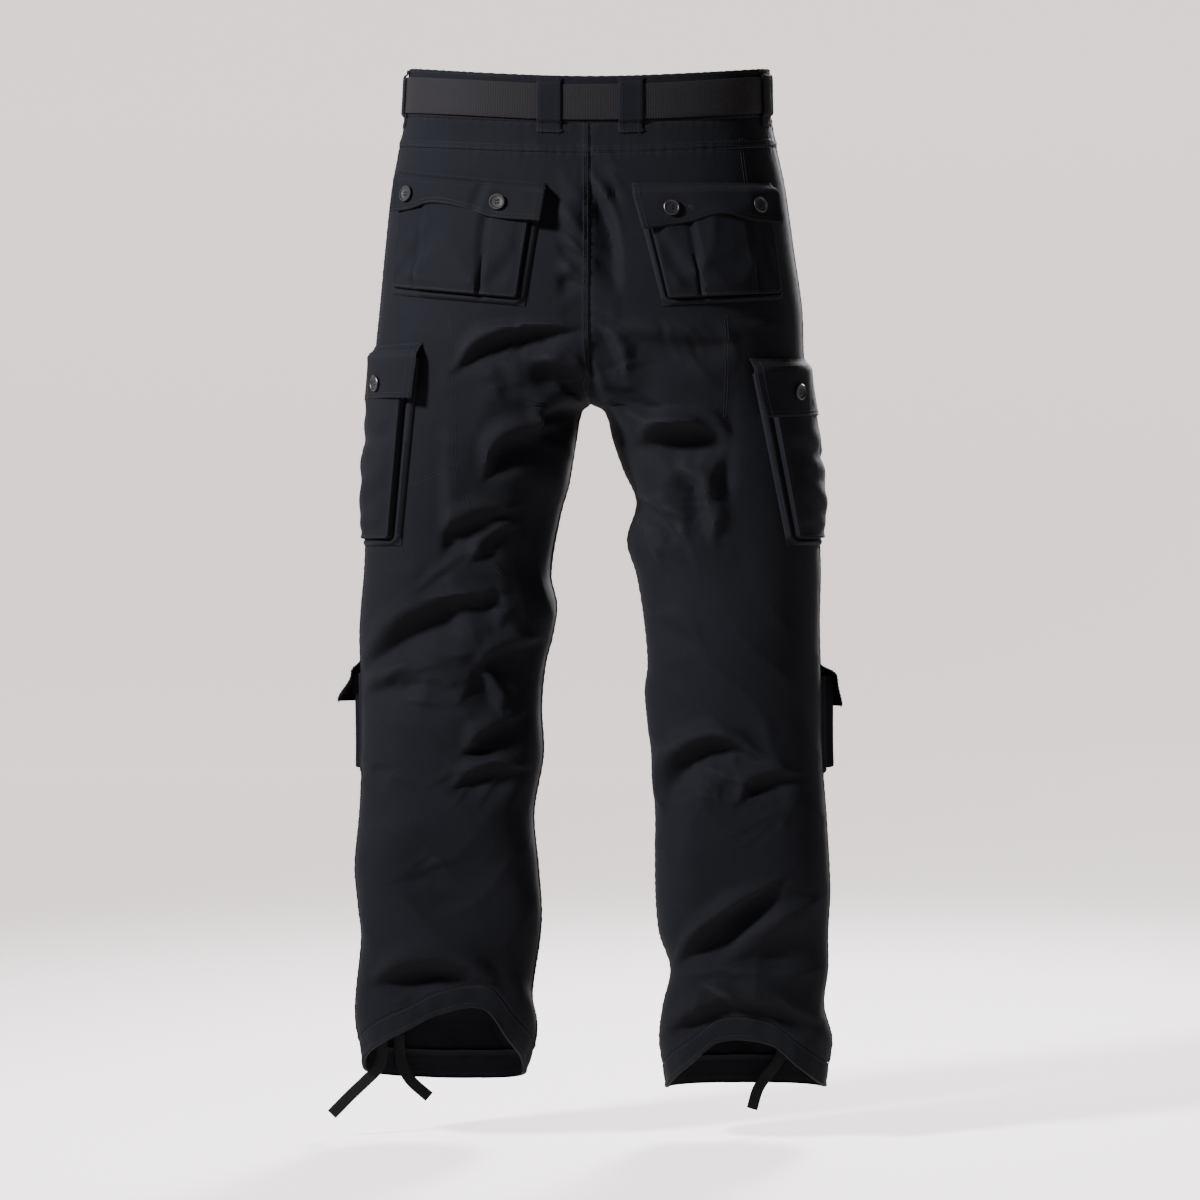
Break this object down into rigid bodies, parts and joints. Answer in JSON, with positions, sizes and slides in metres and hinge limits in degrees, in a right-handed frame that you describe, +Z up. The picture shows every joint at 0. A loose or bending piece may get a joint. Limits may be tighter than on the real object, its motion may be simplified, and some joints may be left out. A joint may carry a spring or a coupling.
{
  "type": "cargo trousers",
  "caption": "Black cotton twill cargo trousers with flapped seat, thigh and knee pockets and a webbing belt, filled out and hollow, open at waist and hems.",
  "frame": {"origin": "middle of the waist opening, level with its top edge at the sides", "axes": "+Z up along the body; the front faces -Y; the wearer's left leg is on +X"},
  "size_m": [0.5469, 0.2655, 1.1141],
  "materials": {
    "twill": "washed cotton twill with a slight sheen",
    "webbing": "flat woven webbing",
    "tape": "flat woven tape",
    "button": "moulded, satin, with a rim",
    "metal": "dark plated, satin"
  },
  "bodies": {
    "root": {"back_left": "twill", "front_left": "twill", "yoke_left": "twill", "back_right": "twill", "front_right": "twill", "yoke_right": "twill", "hem_left": "twill", "hem_right": "twill", "waistband": "twill", "belt": "webbing", "belt_end": "webbing", "belt_tip": "metal", "belt_buckle": "metal", "loop_back_left": "twill", "loop_back_right": "twill", "loop_side_left": "twill", "loop_side_right": "twill", "loop_front_left": "twill", "loop_front_right": "twill", "fly": "twill", "seat_pocket_left": "twill", "seat_flap_left": "twill", "seat_flap_left_button_1": "button", "seat_flap_left_button_2": "button", "seat_pocket_right": "twill", "seat_flap_right": "twill", "seat_flap_right_button_1": "button", "seat_flap_right_button_2": "button", "cargo_pocket_left": "twill", "cargo_flap_left": "twill", "cargo_flap_left_button_1": "button", "cargo_flap_left_button_2": "button", "cargo_pocket_right": "twill", "cargo_flap_right": "twill", "cargo_flap_right_button_1": "button", "cargo_flap_right_button_2": "button", "knee_pocket_left": "twill", "knee_flap_left": "twill", "knee_flap_left_button_1": "button", "knee_pocket_right": "twill", "knee_flap_right": "twill", "knee_flap_right_button_1": "button", "waist_button": "button", "hem_tape_left_side": "tape", "hem_tape_left_front": "tape", "hem_tape_right_front": "tape"}
  },
  "joints": []
}
